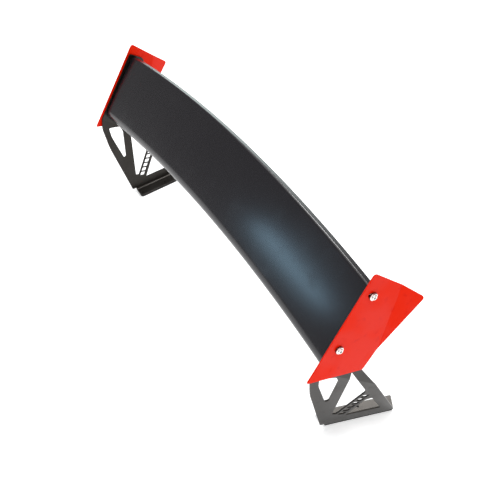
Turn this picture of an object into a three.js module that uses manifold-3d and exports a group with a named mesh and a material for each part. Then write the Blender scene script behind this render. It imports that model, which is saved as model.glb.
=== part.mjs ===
// Racing rear wing: a bowed, hollow-moulded foil carried between two folded uprights, each
// with a folded end plate outside it. Millimetres, +Z up, +Y to the rear, +X to the right.
//
// The wing stands on its two feet. Each upright is one laser-cut sheet: a foot flange, a
// truss-like lower panel that leans and toes outwards, and an upper panel that lies flat
// against the inside of the end plate. The foil hangs on four bolts, each in a slot that
// stands square to the chord. With the bolts loose the foil slides up and down for its
// height, and turns about the front pair for its incidence.

import * as THREE from "three";
import { mergeVertices } from "three/addons/utils/BufferGeometryUtils.js";
import Module from "manifold-3d";

const wasm = await Module();
wasm.setup();

// ---------------------------------------------------------------- driving dimensions

const TOUCH = 0.3; // gap kept between neighbours that touch

// Foil frame: y runs aft along the end plate's top edge, z stands square to it.
const PITCH = THREE.MathUtils.degToRad(62.8); // foil frame against the plane of the feet
const FOIL_ORIGIN = { y: -153.9, z: 252.9 }; // top front tip of the end plates, in the part's frame
const PLATE_HALF_WIDTH = 576; // outer face of an end plate, at the foil frame's origin
const PLATE_LEAN = THREE.MathUtils.degToRad(5.5); // the plates spread towards their lower edge
const PLATE_TOE = THREE.MathUtils.degToRad(0.75); // and close a little towards the rear

const PLATE_THICKNESS = 3;
const UPRIGHT_THICKNESS = 4;
const SKIN_THICKNESS = 2.5;
const SPAR_THICKNESS = 3;
const RIB_THICKNESS = 8;
const GASKET_THICKNESS = 3.5;

const FOIL_SWEEP = 38; // how far the foil bows aft in the middle of the span
const FOIL_ARCH = 6; // and how far it bows up
const SPAN_STEPS = 22; // straight stretches along the foil

// Bolts, in the end plate's own frame
const FRONT_BOLT = { y: 95, z: -28 };
const REAR_BOLT = { y: 231, z: -28 };
const HEIGHT_TRAVEL = 3; // the foil's slide, each way
const INCIDENCE_TRAVEL = THREE.MathUtils.degToRad(1.5); // and its turn, each way
const BOLT_RADIUS = 4; // M8
const BOLT_HOLE_RADIUS = 4.8;
const BOLT_HEAD_RADIUS = 8.7;
const BOLT_HEAD_HEIGHT = 5;
const BOLT_SOCKET_RADIUS = 2.9;
const BOLT_SOCKET_DEPTH = 3;
const BOLT_REACH = 13; // how deep the thread sits in its insert
const WASHER_THICKNESS = 1.6;
const HEAD_WASHER_RADIUS = 9.2;
const SPACER_WASHER_RADIUS = 10.5;
const RUNNING_GAP = 1.3; // room for the canted end faces as the foil moves
const INSERT_RADIUS = 5.8;
const INSERT_LENGTH = 20;

// Upright, in its lower panel's own frame: s runs aft along the foot, t up the panel.
const FOOT_HALF_WIDTH = 541; // outer face at the front end of the foot
const FOOT_TOE = THREE.MathUtils.degToRad(13.6);
const UPRIGHT_LEAN = THREE.MathUtils.degToRad(10.5);
const FOOT_FRONT_Y = -58.4;
const FOOT_LENGTH = 193;
const FOOT_WIDTH = 43;
const FOOT_BEND_RADIUS = 10; // outer radius of the bend between panel and flange
const FOOT_HOLE_RADIUS = 3.4;
const STRUT = 25; // width of every strut
const RAIL = 4.5; // width of the two rails of the pierced strut

// ---------------------------------------------------------------- materials

const finish = (color, roughness, metalness) =>
  new THREE.MeshStandardMaterial({ color, roughness, metalness });

const satinBlack = finish(0x1f1f22, 0.42, 0);
const redPowder = finish(0xe23a1e, 0.38, 0);
const blackPowder = finish(0x2b2a28, 0.5, 0);
const rawLaminate = finish(0x5a5f4a, 0.75, 0);
const stainless = finish(0xc9cacb, 0.25, 1);
const brass = finish(0xb08d4a, 0.35, 1);
const blackZinc = finish(0x141416, 0.45, 0.6);
const rubber = finish(0x121212, 0.9, 0);

// ---------------------------------------------------------------- solids and cuts

const { Vector2, Vector3, Matrix4 } = THREE;

// A closed three.js geometry as a solid that can be joined and cut
function solid(geometry) {
  const bare = geometry.clone();
  bare.deleteAttribute("normal");
  bare.deleteAttribute("uv");
  const merged = mergeVertices(bare, 1e-4);
  const vertProperties = new Float32Array(merged.attributes.position.array);
  const triVerts = new Uint32Array(merged.index.array);
  return new wasm.Manifold(new wasm.Mesh({ numProp: 3, vertProperties, triVerts }));
}

// A solid back as a geometry
function geometryOf(body) {
  const { vertProperties, triVerts } = body.getMesh();
  const geometry = new THREE.BufferGeometry();
  geometry.setAttribute("position", new THREE.BufferAttribute(vertProperties, 3));
  geometry.setIndex(new THREE.BufferAttribute(triVerts, 1));
  return geometry;
}

function piece(name, geometry, material) {
  const mesh = new THREE.Mesh(geometry, material);
  mesh.name = name;
  return mesh;
}

// A flat outline in a frame's Y-Z plane, given thickness along the frame's X axis
// from x0 to x1.
function plateGeometry(shape, x0, x1, curveSegments = 6) {
  const options = { depth: x1 - x0, bevelEnabled: false, curveSegments };
  const stand = new Matrix4().makeBasis(
    new Vector3(0, 1, 0),
    new Vector3(0, 0, 1),
    new Vector3(1, 0, 0),
  );
  return new THREE.ExtrudeGeometry(shape, options).applyMatrix4(stand).translate(x0, 0, 0);
}

// A closed outline through corner points [a, b, radius]; a radius rounds that corner.
function roundedShape(corners) {
  const shape = new THREE.Shape();
  corners.forEach(([a, b, radius = 0], i) => {
    const corner = new Vector2(a, b);
    const before = new Vector2(...corners.at(i - 1));
    const after = new Vector2(...corners[(i + 1) % corners.length]);
    const start = corner.clone().add(before.sub(corner).setLength(radius));
    const end = corner.clone().add(after.sub(corner).setLength(radius));
    if (i === 0) shape.moveTo(start.x, start.y);
    else shape.lineTo(start.x, start.y);
    if (radius > 0) shape.quadraticCurveTo(corner.x, corner.y, end.x, end.y);
  });
  shape.closePath();
  return shape;
}

const circle = ({ y, z }, radius) => new THREE.Shape().absarc(y, z, radius, 0, 2 * Math.PI);

// ---------------------------------------------------------------- frames

const foilFrame = new Matrix4()
  .makeTranslation(0, FOIL_ORIGIN.y, FOIL_ORIGIN.z)
  .multiply(new Matrix4().makeRotationX(PITCH));

const turned = (x, y, z) =>
  new Matrix4().makeRotationFromEuler(new THREE.Euler(x, y, z, "ZYX"));

// Outer face of the right end plate, in the foil's frame
const plateInFoil = new Matrix4()
  .makeTranslation(PLATE_HALF_WIDTH, 0, 0)
  .multiply(turned(0, -PLATE_LEAN, PLATE_TOE));
const plateFrame = foilFrame.clone().multiply(plateInFoil);

// Outer face of the right upright's lower panel where its foot bend starts, and the same
// place with its z axis upright, for the level foot
const BEND_RISE = FOOT_BEND_RADIUS * (1 - Math.sin(UPRIGHT_LEAN));
const bendStart = new Matrix4().makeTranslation(
  FOOT_HALF_WIDTH,
  FOOT_FRONT_Y,
  GASKET_THICKNESS + TOUCH + BEND_RISE,
);
const panelFrame = bendStart.clone().multiply(turned(0, UPRIGHT_LEAN, -FOOT_TOE));
const footFrame = bendStart.clone().multiply(turned(0, 0, -FOOT_TOE));

// Stack of layers inwards from the end plate's outer face
const uprightOuterX = -PLATE_THICKNESS - TOUCH;
const uprightInnerX = uprightOuterX - UPRIGHT_THICKNESS;
const spacerOuterX = uprightInnerX - RUNNING_GAP;
const foilEndX = spacerOuterX - WASHER_THICKNESS - TOUCH;

// ---------------------------------------------------------------- foil section and span

// Corners of the closed section, in the foil's frame
const CREASE = new Vector2(245, -17);
const LIP = new Vector2(247.5, -33);
const CROWN = new Vector2(66, -10.5);
const NOSE = new Vector2(39.5, -33);
const KEEL = new Vector2(62, -55);

// Top skin line, from the lip over the crown and round the nose to the keel
function topLine(divisions) {
  const path = new THREE.Path().moveTo(LIP.x, LIP.y);
  path.lineTo(CREASE.x, CREASE.y);
  path.quadraticCurveTo(150, CROWN.y, CROWN.x, CROWN.y);
  path.bezierCurveTo(50, CROWN.y, NOSE.x, -20, NOSE.x, NOSE.y);
  path.bezierCurveTo(NOSE.x, -46, 48, KEEL.y, KEEL.x, KEEL.y);
  return path.getPoints(divisions);
}

// Underside line, from the keel aft to the lip
function keelLine(divisions) {
  const path = new THREE.Path().moveTo(KEEL.x, KEEL.y);
  path.bezierCurveTo(120, KEEL.y, 212, -56, LIP.x, LIP.y);
  return path.getPoints(divisions);
}

// A line moved to its left by a distance, corner by corner
function offsetLine(points, distance) {
  return points.map((point, i) => {
    const before = points[Math.max(i - 1, 0)];
    const after = points[Math.min(i + 1, points.length - 1)];
    const into = i > 0 ? point.clone().sub(before).normalize() : after.clone().sub(point).normalize();
    const out = i < points.length - 1 ? after.clone().sub(point).normalize() : into;
    const mean = into.clone().add(out).normalize();
    const mitre = distance / mean.dot(into);
    return new Vector2(point.x - mean.y * mitre, point.y + mean.x * mitre);
  });
}

// A thin strip that follows a line, on its left
const stripShape = (line, thickness) =>
  new THREE.Shape([...line, ...offsetLine(line, thickness).reverse()]);

// Height of a line at a station y
function heightAt(line, y) {
  const i = line.findIndex((p, k) => k > 0 && (p.x - y) * (line[k - 1].x - y) <= 0);
  const [a, b] = [line[i - 1], line[i]];
  return a.y + ((b.y - a.y) * (y - a.x)) / (b.x - a.x);
}

// End face of the foil at a point of its section: parallel to the end plate
const plateNormal = new Vector3().setFromMatrixColumn(plateInFoil, 0);
const endFaceX = (y, z) =>
  PLATE_HALF_WIDTH + (foilEndX - plateNormal.y * y - plateNormal.z * z) / plateNormal.x;

// A section shape carried along the span from one fraction of the half-span to another
// (-1 is the left end, 1 the right end), bowed aft and up towards the middle.
function alongSpan(shape, from, to, steps) {
  const options = { depth: 1, steps, bevelEnabled: false };
  const geometry = new THREE.ExtrudeGeometry(shape, options);
  const position = geometry.attributes.position;
  for (let i = 0; i < position.count; i += 1) {
    const [y, z] = [position.getX(i), position.getY(i)];
    const fraction = from + (to - from) * position.getZ(i);
    const bow = 1 - fraction * fraction;
    position.setXYZ(i, fraction * endFaceX(y, z), y + FOIL_SWEEP * bow, z + FOIL_ARCH * bow);
  }
  return geometry;
}

const top = topLine(7);
const keel = keelLine(10);
const innerTop = offsetLine(top, SKIN_THICKNESS + TOUCH);
const innerKeel = offsetLine(keel, SKIN_THICKNESS + TOUCH);

// ---------------------------------------------------------------- foil pieces

const SEAM = 0.5; // bond line between the two skins

// A line shortened at both ends by the bond line
function trimmed(line) {
  const first = line[0].clone().lerp(line[1], SEAM / line[0].distanceTo(line[1]));
  const [last, tail] = [line.at(-1), line.at(-2)];
  return [first, ...line.slice(1, -1), last.clone().lerp(tail, SEAM / last.distanceTo(tail))];
}

const upperSkin = () => alongSpan(stripShape(trimmed(top), SKIN_THICKNESS), -1, 1, SPAN_STEPS);

// The underside butts against the upper skin's front edge, and stops short of its lip
function lowerSkin() {
  const tail = LIP.x - SKIN_THICKNESS - SEAM;
  const line = [...keel.filter((p) => p.x < tail - 2), new Vector2(tail, heightAt(keel, tail))];
  return alongSpan(stripShape(line, SKIN_THICKNESS), -1, 1, SPAN_STEPS);
}

// A full-height web at a station y, between the two skins
function spar(y) {
  const edges = [y - SPAR_THICKNESS / 2, y + SPAR_THICKNESS / 2];
  const ceiling = Math.min(...edges.map((e) => heightAt(innerTop, e)));
  const floor = Math.max(...edges.map((e) => heightAt(innerKeel, e)));
  const shape = roundedShape([
    [edges[0], floor],
    [edges[1], floor],
    [edges[1], ceiling],
    [edges[0], ceiling],
  ]);
  const reach = 1 - (RIB_THICKNESS + 1) / PLATE_HALF_WIDTH;
  return alongSpan(shape, -reach, reach, SPAN_STEPS);
}

const FRONT_SPAR_Y = 70;
const REAR_SPAR_Y = 196;

// The whole inside of the section, used for the closing ribs
function ribShape() {
  const ceiling = innerTop.slice(1).filter((p) => p.y > KEEL.y + 12);
  const floor = innerKeel.filter((p) => p.x > KEEL.x + 6 && p.x < LIP.x - 10);
  const heel = new Vector2(LIP.x - 8, heightAt(innerKeel, LIP.x - 8) + 1);
  return new THREE.Shape([...ceiling, ...floor, heel]);
}

// Closing rib at the right end, bored for the two inserts
function endRib() {
  const ribStart = 1 - RIB_THICKNESS / PLATE_HALF_WIDTH;
  let rib = solid(alongSpan(ribShape(), ribStart, 1, 1));
  for (const bolt of [FRONT_BOLT, REAR_BOLT]) {
    const bore = plateGeometry(circle(bolt, INSERT_RADIUS + TOUCH), foilEndX - 30, foilEndX + 10);
    rib = rib.subtract(solid(bore.applyMatrix4(plateInFoil)));
  }
  return geometryOf(rib);
}

// Stiffener in the middle of the span, between the spars
function centreRib() {
  const clear = SPAR_THICKNESS / 2 + TOUCH;
  const [front, rear] = [FRONT_SPAR_Y + clear, REAR_SPAR_Y - clear];
  const floor = innerKeel.filter((p) => p.x > front && p.x < rear);
  const shape = new THREE.Shape([
    new Vector2(front, heightAt(innerKeel, front)),
    ...floor,
    new Vector2(rear, heightAt(innerKeel, rear)),
    new Vector2(rear, heightAt(innerTop, rear)),
    new Vector2(front, heightAt(innerTop, rear)),
  ]);
  const half = RIB_THICKNESS / 2 / PLATE_HALF_WIDTH;
  return alongSpan(shape, -half, half, 1);
}

// ---------------------------------------------------------------- uprights

const LOWER_PANEL = [
  [-66, 277],
  [-72, 238, 10],
  [-58, 168, 18],
  [0, 0, 2],
  [FOOT_LENGTH, 0, 2],
  [FOOT_LENGTH - 137.5, 233],
];

const UPPER_PANEL = [
  [4, -5.5],
  [251, -5.5, 8],
  [251, -58, 14],
  [150, -92, 30],
  [62, -104, 26],
  [-30, -277.5],
];

// Openings of the truss, in the lower panel's frame
const FRONT_WINDOW = [
  [-49, 233, 5],
  [-9, 226, 6],
  [0.5, 206, 6],
  [-4, 123, 4],
  [-13, 121, 4],
  [-45, 203, 8],
];
const MIDDLE_WINDOW = [
  [29, 226, 4],
  [27, 200, 6],
  [20.5, 46, 3],
  [33, 42, 3],
  [85, 124, 3],
  [85, 131, 3],
];
const REAR_WINDOW = [
  [59, STRUT, 3],
  [151, STRUT, 3],
  [145, 33, 4],
  [112, 88, 5],
  [95, 84, 3],
];

// The strut between the middle and rear windows is pierced by a row of slanted slots,
// which leaves a thin rail along each of its edges.
function strutSlots() {
  const foot = new Vector2(43, 33);
  const head = new Vector2(93, 110);
  const along = head.clone().sub(foot).normalize();
  const across = new Vector2(along.y, -along.x);
  const reach = STRUT / 2 - RAIL;
  const COUNT = 6;
  const length = head.distanceTo(foot);
  const pitch = length / COUNT;
  const bar = 4;
  const slant = 6;
  const at = (a, c) => foot.clone().addScaledVector(along, a).addScaledVector(across, c);
  return Array.from({ length: COUNT }, (_, i) => {
    const start = i * pitch;
    const corners = [
      at(start, -reach),
      at(start + pitch - bar, -reach),
      at(start + pitch - bar + slant, reach),
      at(start + slant, reach),
    ];
    return roundedShape(corners.map((p) => [p.x, p.y, 1.5]));
  });
}

// Slot for a bolt, square to the chord, with the bolt's travel each way
function boltSlot({ y, z }, travel) {
  const shape = new THREE.Shape();
  shape.absarc(y, z + travel, BOLT_HOLE_RADIUS, 0, Math.PI);
  shape.absarc(y, z - travel, BOLT_HOLE_RADIUS, Math.PI, 2 * Math.PI);
  return shape;
}

const rearTravel = HEIGHT_TRAVEL + (REAR_BOLT.y - FRONT_BOLT.y) * Math.sin(INCIDENCE_TRAVEL);
const boltSlots = () => [boltSlot(FRONT_BOLT, HEIGHT_TRAVEL), boltSlot(REAR_BOLT, rearTravel)];

const FOOT_HOLES = [17, 112].map((y) => ({ y, z: 31 }));

// A level layer of the foot between two heights. Its corners are [s, distance inwards,
// radius], and the outline stands off a plain foot's by a margin at both ends and inwards.
function footLayer(outerEdge, frontEdge, margin, low, high) {
  const shape = roundedShape([
    [frontEdge, outerEdge],
    [frontEdge, 8, 2],
    [frontEdge - 10.5, FOOT_WIDTH + margin, 11],
    [FOOT_LENGTH + 15, FOOT_WIDTH + margin, 4],
    [FOOT_LENGTH + 1, outerEdge],
  ]);
  shape.holes = FOOT_HOLES.map((hole) => circle(hole, FOOT_HOLE_RADIUS));
  const lay = new Matrix4().makeBasis(
    new Vector3(0, 1, 0),
    new Vector3(-1, 0, 0),
    new Vector3(0, 0, 1),
  );
  const options = { depth: high - low, bevelEnabled: false, curveSegments: 6 };
  return new THREE.ExtrudeGeometry(shape, options).translate(0, 0, low).applyMatrix4(lay);
}

// The bend that turns the panel into its flange, and the flange itself, as one bent strip
function footStrip() {
  const OVERLAP = 1;
  const REACH = FOOT_WIDTH + 5;
  const LENGTH = FOOT_LENGTH + 40;
  const up = new Vector2(Math.sin(UPRIGHT_LEAN), Math.cos(UPRIGHT_LEAN));
  const centre = new Vector2(-up.y, up.x).multiplyScalar(FOOT_BEND_RADIUS);
  const innerRadius = FOOT_BEND_RADIUS - UPRIGHT_THICKNESS;
  const innerStart = new Vector2(up.y, -up.x).multiplyScalar(innerRadius).add(centre);
  const profile = new THREE.Shape().moveTo(up.x * OVERLAP, up.y * OVERLAP);
  profile.absarc(centre.x, centre.y, FOOT_BEND_RADIUS, -UPRIGHT_LEAN, -Math.PI / 2, true);
  profile.lineTo(-REACH, centre.y - FOOT_BEND_RADIUS);
  profile.lineTo(-REACH, centre.y - innerRadius);
  profile.absarc(centre.x, centre.y, innerRadius, -Math.PI / 2, -UPRIGHT_LEAN, false);
  profile.lineTo(innerStart.x + up.x * OVERLAP, innerStart.y + up.y * OVERLAP);
  const stand = new Matrix4().makeBasis(
    new Vector3(1, 0, 0),
    new Vector3(0, 0, 1),
    new Vector3(0, -1, 0),
  );
  const options = { depth: LENGTH, bevelEnabled: false, curveSegments: 6 };
  return new THREE.ExtrudeGeometry(profile, options).applyMatrix4(stand).translate(0, LENGTH, 0);
}

// A block that removes everything on one side of the mitre between the two panels, and
// leaves a hair of overlap for them to join in
function mitreBlock(side) {
  const HAIR = 0.05;
  const lower = new Vector3().setFromMatrixColumn(panelFrame, 0);
  const upper = new Vector3().setFromMatrixColumn(plateFrame, 0);
  const fold = new Vector3().crossVectors(lower, upper).normalize();
  const bisector = lower.clone().add(upper).normalize();
  const away = new Vector3().crossVectors(fold, bisector).multiplyScalar(side);
  // a point on both outer faces
  const a = new Vector3().setFromMatrixPosition(panelFrame);
  const b = new Vector3(uprightOuterX, 0, 0).applyMatrix4(plateFrame);
  const c = lower.dot(upper);
  const rise = upper.dot(b.clone().sub(a)) / (1 - c * c);
  const point = a.clone().addScaledVector(upper, rise).addScaledVector(lower, -rise * c);
  const SIZE = 1200;
  const frame = new Matrix4().makeBasis(away, fold, away.clone().cross(fold));
  frame.setPosition(point);
  const block = new THREE.BoxGeometry(SIZE, SIZE, SIZE).translate(SIZE / 2 + HAIR, 0, 0);
  return block.applyMatrix4(frame);
}

function upright() {
  const panel = plateGeometry(roundedShape(LOWER_PANEL), -UPRIGHT_THICKNESS, 0);
  const cheek = plateGeometry(roundedShape(UPPER_PANEL), uprightInnerX, uprightOuterX);
  let sheet = solid(panel.applyMatrix4(panelFrame))
    .subtract(solid(mitreBlock(1)))
    .add(solid(cheek.applyMatrix4(plateFrame)).subtract(solid(mitreBlock(-1))));
  const openings = [FRONT_WINDOW, MIDDLE_WINDOW, REAR_WINDOW].map(roundedShape);
  for (const shape of [...openings, ...strutSlots()]) {
    const cutter = plateGeometry(shape, -30, 20, 4).applyMatrix4(panelFrame);
    sheet = sheet.subtract(solid(cutter));
  }
  for (const shape of boltSlots()) {
    const cutter = plateGeometry(shape, uprightInnerX - 5, uprightOuterX + 5);
    sheet = sheet.subtract(solid(cutter.applyMatrix4(plateFrame)));
  }
  const outline = solid(footLayer(-20, 14, 0, -20, 20).applyMatrix4(footFrame));
  const foot = solid(footStrip().applyMatrix4(footFrame)).intersect(outline);
  return geometryOf(sheet.add(foot));
}

// Rubber pad under the foot, a little proud of the flange's inner edge
function gasket() {
  const top = -BEND_RISE - TOUCH;
  return footLayer(4, 15.5, 1.5, top - GASKET_THICKNESS, top).applyMatrix4(footFrame);
}

// ---------------------------------------------------------------- end plates

const FOLD_FRONT = new Vector2(103.5, -136);
const FOLD_REAR = new Vector2(267, -88.5);
const FOLD_ANGLE = THREE.MathUtils.degToRad(14);
const FLAP_DEPTH = 63.5; // of the folded corner, square to the fold
const FLAP_TIP = 141; // and its place along the fold

function endPlate() {
  const main = roundedShape([
    [0, 0, 5],
    [279.5, 0, 11],
    [FOLD_REAR.x, FOLD_REAR.y],
    [FOLD_FRONT.x, FOLD_FRONT.y],
    [48, -132.5, 7],
  ]);
  main.holes = boltSlots();
  const OVERLAP = 0.6;
  const foldLength = FOLD_REAR.distanceTo(FOLD_FRONT);
  const flap = roundedShape([
    [0, OVERLAP],
    [0, 0],
    [FLAP_TIP, -FLAP_DEPTH, 9],
    [foldLength, 0],
    [foldLength, OVERLAP],
  ]);
  const foldDirection = FOLD_REAR.clone().sub(FOLD_FRONT).angle();
  const fold = new Matrix4()
    .makeTranslation(0, FOLD_FRONT.x, FOLD_FRONT.y)
    .multiply(new Matrix4().makeRotationX(foldDirection))
    .multiply(new Matrix4().makeRotationY(-FOLD_ANGLE));
  const body = solid(plateGeometry(main, -PLATE_THICKNESS, 0));
  const corner = plateGeometry(flap, -PLATE_THICKNESS, 0).applyMatrix4(fold);
  return geometryOf(body.add(solid(corner))).applyMatrix4(plateFrame);
}

// ---------------------------------------------------------------- fasteners

// Turned pieces lie along X: profile points are [radius, x]
function turnedPiece(profile, segments = 20) {
  const points = profile.map(([radius, x]) => new Vector2(radius, x));
  const lie = new Matrix4().makeRotationZ(-Math.PI / 2);
  return new THREE.LatheGeometry(points, segments).applyMatrix4(lie);
}

// Flanged button-head bolt, its head's seat at x = 0
function bolt() {
  const stack = WASHER_THICKNESS + RUNNING_GAP - foilEndX;
  const length = stack + BOLT_REACH;
  const rim = 1.6;
  const body = turnedPiece([
    [0, -length],
    [BOLT_RADIUS - 0.6, -length],
    [BOLT_RADIUS, -length + 0.8],
    [BOLT_RADIUS, 0],
    [BOLT_HEAD_RADIUS, 0],
    [BOLT_HEAD_RADIUS, rim],
    [BOLT_HEAD_RADIUS - 1.7, rim + 0.6],
    [BOLT_HEAD_RADIUS - 2.6, BOLT_HEAD_HEIGHT - 1.4],
    [BOLT_HEAD_RADIUS - 4.4, BOLT_HEAD_HEIGHT],
    [0, BOLT_HEAD_HEIGHT],
  ]);
  const socket = new THREE.CylinderGeometry(
    BOLT_SOCKET_RADIUS,
    BOLT_SOCKET_RADIUS,
    2 * BOLT_SOCKET_DEPTH,
    6,
  );
  socket.rotateZ(-Math.PI / 2).translate(BOLT_HEAD_HEIGHT, 0, 0);
  return geometryOf(solid(body).subtract(solid(socket)));
}

// Flat washer from x = 0 inwards
const washer = (radius) =>
  turnedPiece([
    [BOLT_RADIUS + TOUCH, -WASHER_THICKNESS],
    [radius, -WASHER_THICKNESS],
    [radius, 0],
    [BOLT_RADIUS + TOUCH, 0],
    [BOLT_RADIUS + TOUCH, -WASHER_THICKNESS],
  ]);

// Threaded insert from the rib's outer face inwards
const insert = () =>
  turnedPiece([
    [BOLT_RADIUS + TOUCH, -INSERT_LENGTH],
    [INSERT_RADIUS, -INSERT_LENGTH],
    [INSERT_RADIUS, -0.2],
    [BOLT_RADIUS + TOUCH, -0.2],
    [BOLT_RADIUS + TOUCH, -INSERT_LENGTH],
  ]);

// ---------------------------------------------------------------- assembly

const wing = new THREE.Group();

const foilGroup = new THREE.Group();
foilGroup.applyMatrix4(foilFrame);
wing.add(foilGroup);
foilGroup.add(
  piece("foil_upper_skin", upperSkin(), satinBlack),
  piece("foil_lower_skin", lowerSkin(), satinBlack),
  piece("front_spar", spar(FRONT_SPAR_Y), rawLaminate),
  piece("rear_spar", spar(REAR_SPAR_Y), rawLaminate),
  piece("centre_rib", centreRib(), rawLaminate),
);

// Everything at one end; the left end is the right end mirrored across the middle plane.
function addSide(side, mirror) {
  const half = new THREE.Group();
  half.scale.x = mirror;
  wing.add(half);
  half.add(
    piece(`upright_${side}`, upright(), blackPowder),
    piece(`foot_gasket_${side}`, gasket(), rubber),
    piece(`end_plate_${side}`, endPlate(), redPowder),
  );
  const rib = piece(`end_rib_${side}`, endRib(), rawLaminate);
  rib.applyMatrix4(foilFrame);
  half.add(rib);
  for (const [station, centre] of Object.entries({ front: FRONT_BOLT, rear: REAR_BOLT })) {
    const stack = new THREE.Group();
    stack.applyMatrix4(plateFrame);
    half.add(stack);
    const place = (mesh, x) => {
      mesh.position.set(x, centre.y, centre.z);
      stack.add(mesh);
    };
    const seat = RUNNING_GAP + WASHER_THICKNESS;
    place(piece(`bolt_${station}_${side}`, bolt(), stainless), seat + TOUCH);
    const headWasher = washer(HEAD_WASHER_RADIUS);
    const spacerWasher = washer(SPACER_WASHER_RADIUS);
    place(piece(`head_washer_${station}_${side}`, headWasher, blackZinc), seat);
    place(piece(`spacer_washer_${station}_${side}`, spacerWasher, stainless), spacerOuterX);
    place(piece(`insert_${station}_${side}`, insert(), brass), foilEndX);
  }
}

addSide("right", 1);
addSide("left", -1);

export default wing;
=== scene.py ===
# %% [markdown]
# # A racing rear wing
#
# The wing is a bowed black foil hung between two folded steel uprights, with an orange-red
# end plate on the outside of each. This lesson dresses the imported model: it keeps every size
# and place that the model gives, and makes each surface that shows in full detail.
#
# All lengths below are in metres, and +X runs along the span to the right-hand end.

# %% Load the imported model
import math

import bmesh
import bpy
import numpy as np
from mathutils import Matrix, Vector
from mathutils.geometry import tessellate_polygon


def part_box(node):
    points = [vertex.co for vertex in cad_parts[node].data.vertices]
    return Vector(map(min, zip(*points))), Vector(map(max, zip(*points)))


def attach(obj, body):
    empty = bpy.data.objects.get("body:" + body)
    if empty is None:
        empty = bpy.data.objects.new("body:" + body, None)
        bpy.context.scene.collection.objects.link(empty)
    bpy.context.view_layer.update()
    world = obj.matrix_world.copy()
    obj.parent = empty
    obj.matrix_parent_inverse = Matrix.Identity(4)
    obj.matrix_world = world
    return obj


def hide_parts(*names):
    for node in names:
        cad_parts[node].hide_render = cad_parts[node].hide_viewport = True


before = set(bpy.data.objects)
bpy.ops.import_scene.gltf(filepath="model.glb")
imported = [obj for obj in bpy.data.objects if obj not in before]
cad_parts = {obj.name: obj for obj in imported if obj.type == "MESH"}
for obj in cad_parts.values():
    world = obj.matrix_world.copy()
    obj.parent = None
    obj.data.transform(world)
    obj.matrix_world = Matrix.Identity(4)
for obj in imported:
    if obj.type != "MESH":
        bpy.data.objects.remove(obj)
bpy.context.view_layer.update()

# %% [markdown]
# ## Frames
#
# A wing is drawn in three tilted frames. The foil's frame has y along the chord and z square to
# it. Each end plate's frame leans and toes a little from that. Each upright's lower panel has
# its own lean, and its foot is level. Four by four matrices carry points from one to another,
# so each piece can be drawn flat, in the frame where its outline is simple.

# %% Driving dimensions and frames
MM = 0.001
GAP = 0.3 * MM  # between neighbours that touch

PLATE_THICKNESS = 3 * MM
UPRIGHT_THICKNESS = 4 * MM
SKIN_THICKNESS = 2.5 * MM
GASKET_THICKNESS = 3.5 * MM
UPRIGHT_LEAN = math.radians(10.5)
FOOT_TOE = math.radians(13.6)
FOOT_BEND_RADIUS = 10 * MM
BEND_RISE = FOOT_BEND_RADIUS * (1 - math.sin(UPRIGHT_LEAN))


def shifted(x, y, z):
    """A move, as a matrix."""
    return np.array(Matrix.Translation((x, y, z)))


def turned(angle, axis):
    """A turn about a main axis, as a matrix."""
    return np.array(Matrix.Rotation(angle, 4, axis))


def carried(points, matrix):
    """Points (n, 3) carried by a matrix: each point times its turn, plus its move."""
    return points @ matrix[:3, :3].T + matrix[:3, 3]


foil_frame = shifted(0, -153.9 * MM, 252.9 * MM) @ turned(math.radians(62.8), "X")
plate_in_foil = (
    shifted(576 * MM, 0, 0) @ turned(math.radians(0.75), "Z") @ turned(math.radians(-5.5), "Y")
)
plate_frame = foil_frame @ plate_in_foil
bend_start = shifted(541 * MM, -58.4 * MM, GASKET_THICKNESS + GAP + BEND_RISE)
foot_frame = bend_start @ turned(-FOOT_TOE, "Z")
panel_frame = foot_frame @ turned(UPRIGHT_LEAN, "Y")
print("plate's corner in the model's frame:", np.round(plate_frame[:3, 3], 4))

# %% [markdown]
# ## Camera
#
# The camera stands high to the right and in front, and is rolled a few degrees, as a hand-held
# one often is. A look-at direction and a roll say that more plainly than three angles do.

# %% Camera
CAMERA_PLACE = Vector((1275, -793, 1369)) * MM
CAMERA_TARGET = Vector((0, 68.5, 100.3)) * MM
CAMERA_ROLL = math.radians(4.68)

forward = (CAMERA_TARGET - CAMERA_PLACE).normalized()
level = forward.cross(Vector((0, 0, 1))).normalized()
side = level * math.cos(CAMERA_ROLL) + level.cross(forward) * math.sin(CAMERA_ROLL)
above = side.cross(forward)
turn = Matrix((side, above, -forward)).transposed().to_4x4()
camera = bpy.data.objects.new("camera", bpy.data.cameras.new("camera"))
camera.data.lens = 50.4
camera.data.sensor_width = 36
camera.data.clip_start = 0.05
camera.matrix_world = Matrix.Translation(CAMERA_PLACE) @ turn
bpy.context.scene.collection.objects.link(camera)
bpy.context.scene.camera = camera
print("camera looks along", [round(v, 3) for v in forward])

# %% [markdown]
# ## Shader maths
#
# Finishes such as powder coat or gelcoat vary a little all over. The variation is worked out
# with sums and products of noise, so one small class wraps a shader socket and lets Python's
# own operators add the Math nodes. Each finish below then reads like its formula.


# %% Sockets that add and multiply
class Wire:
    """An output socket. Arithmetic on it adds Math nodes to the same finish."""

    def __init__(self, finish, socket):
        self.finish = finish
        self.socket = socket

    def _math(self, operation, first, second):
        settings = {"operation": operation}
        return self.finish.node("ShaderNodeMath", settings, {0: first, 1: second})

    def __add__(self, other):
        return self._math("ADD", self, other)

    def __rsub__(self, other):
        return self._math("SUBTRACT", other, self)

    def __mul__(self, other):
        return self._math("MULTIPLY", self, other)

    __radd__ = __add__
    __rmul__ = __mul__


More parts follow.
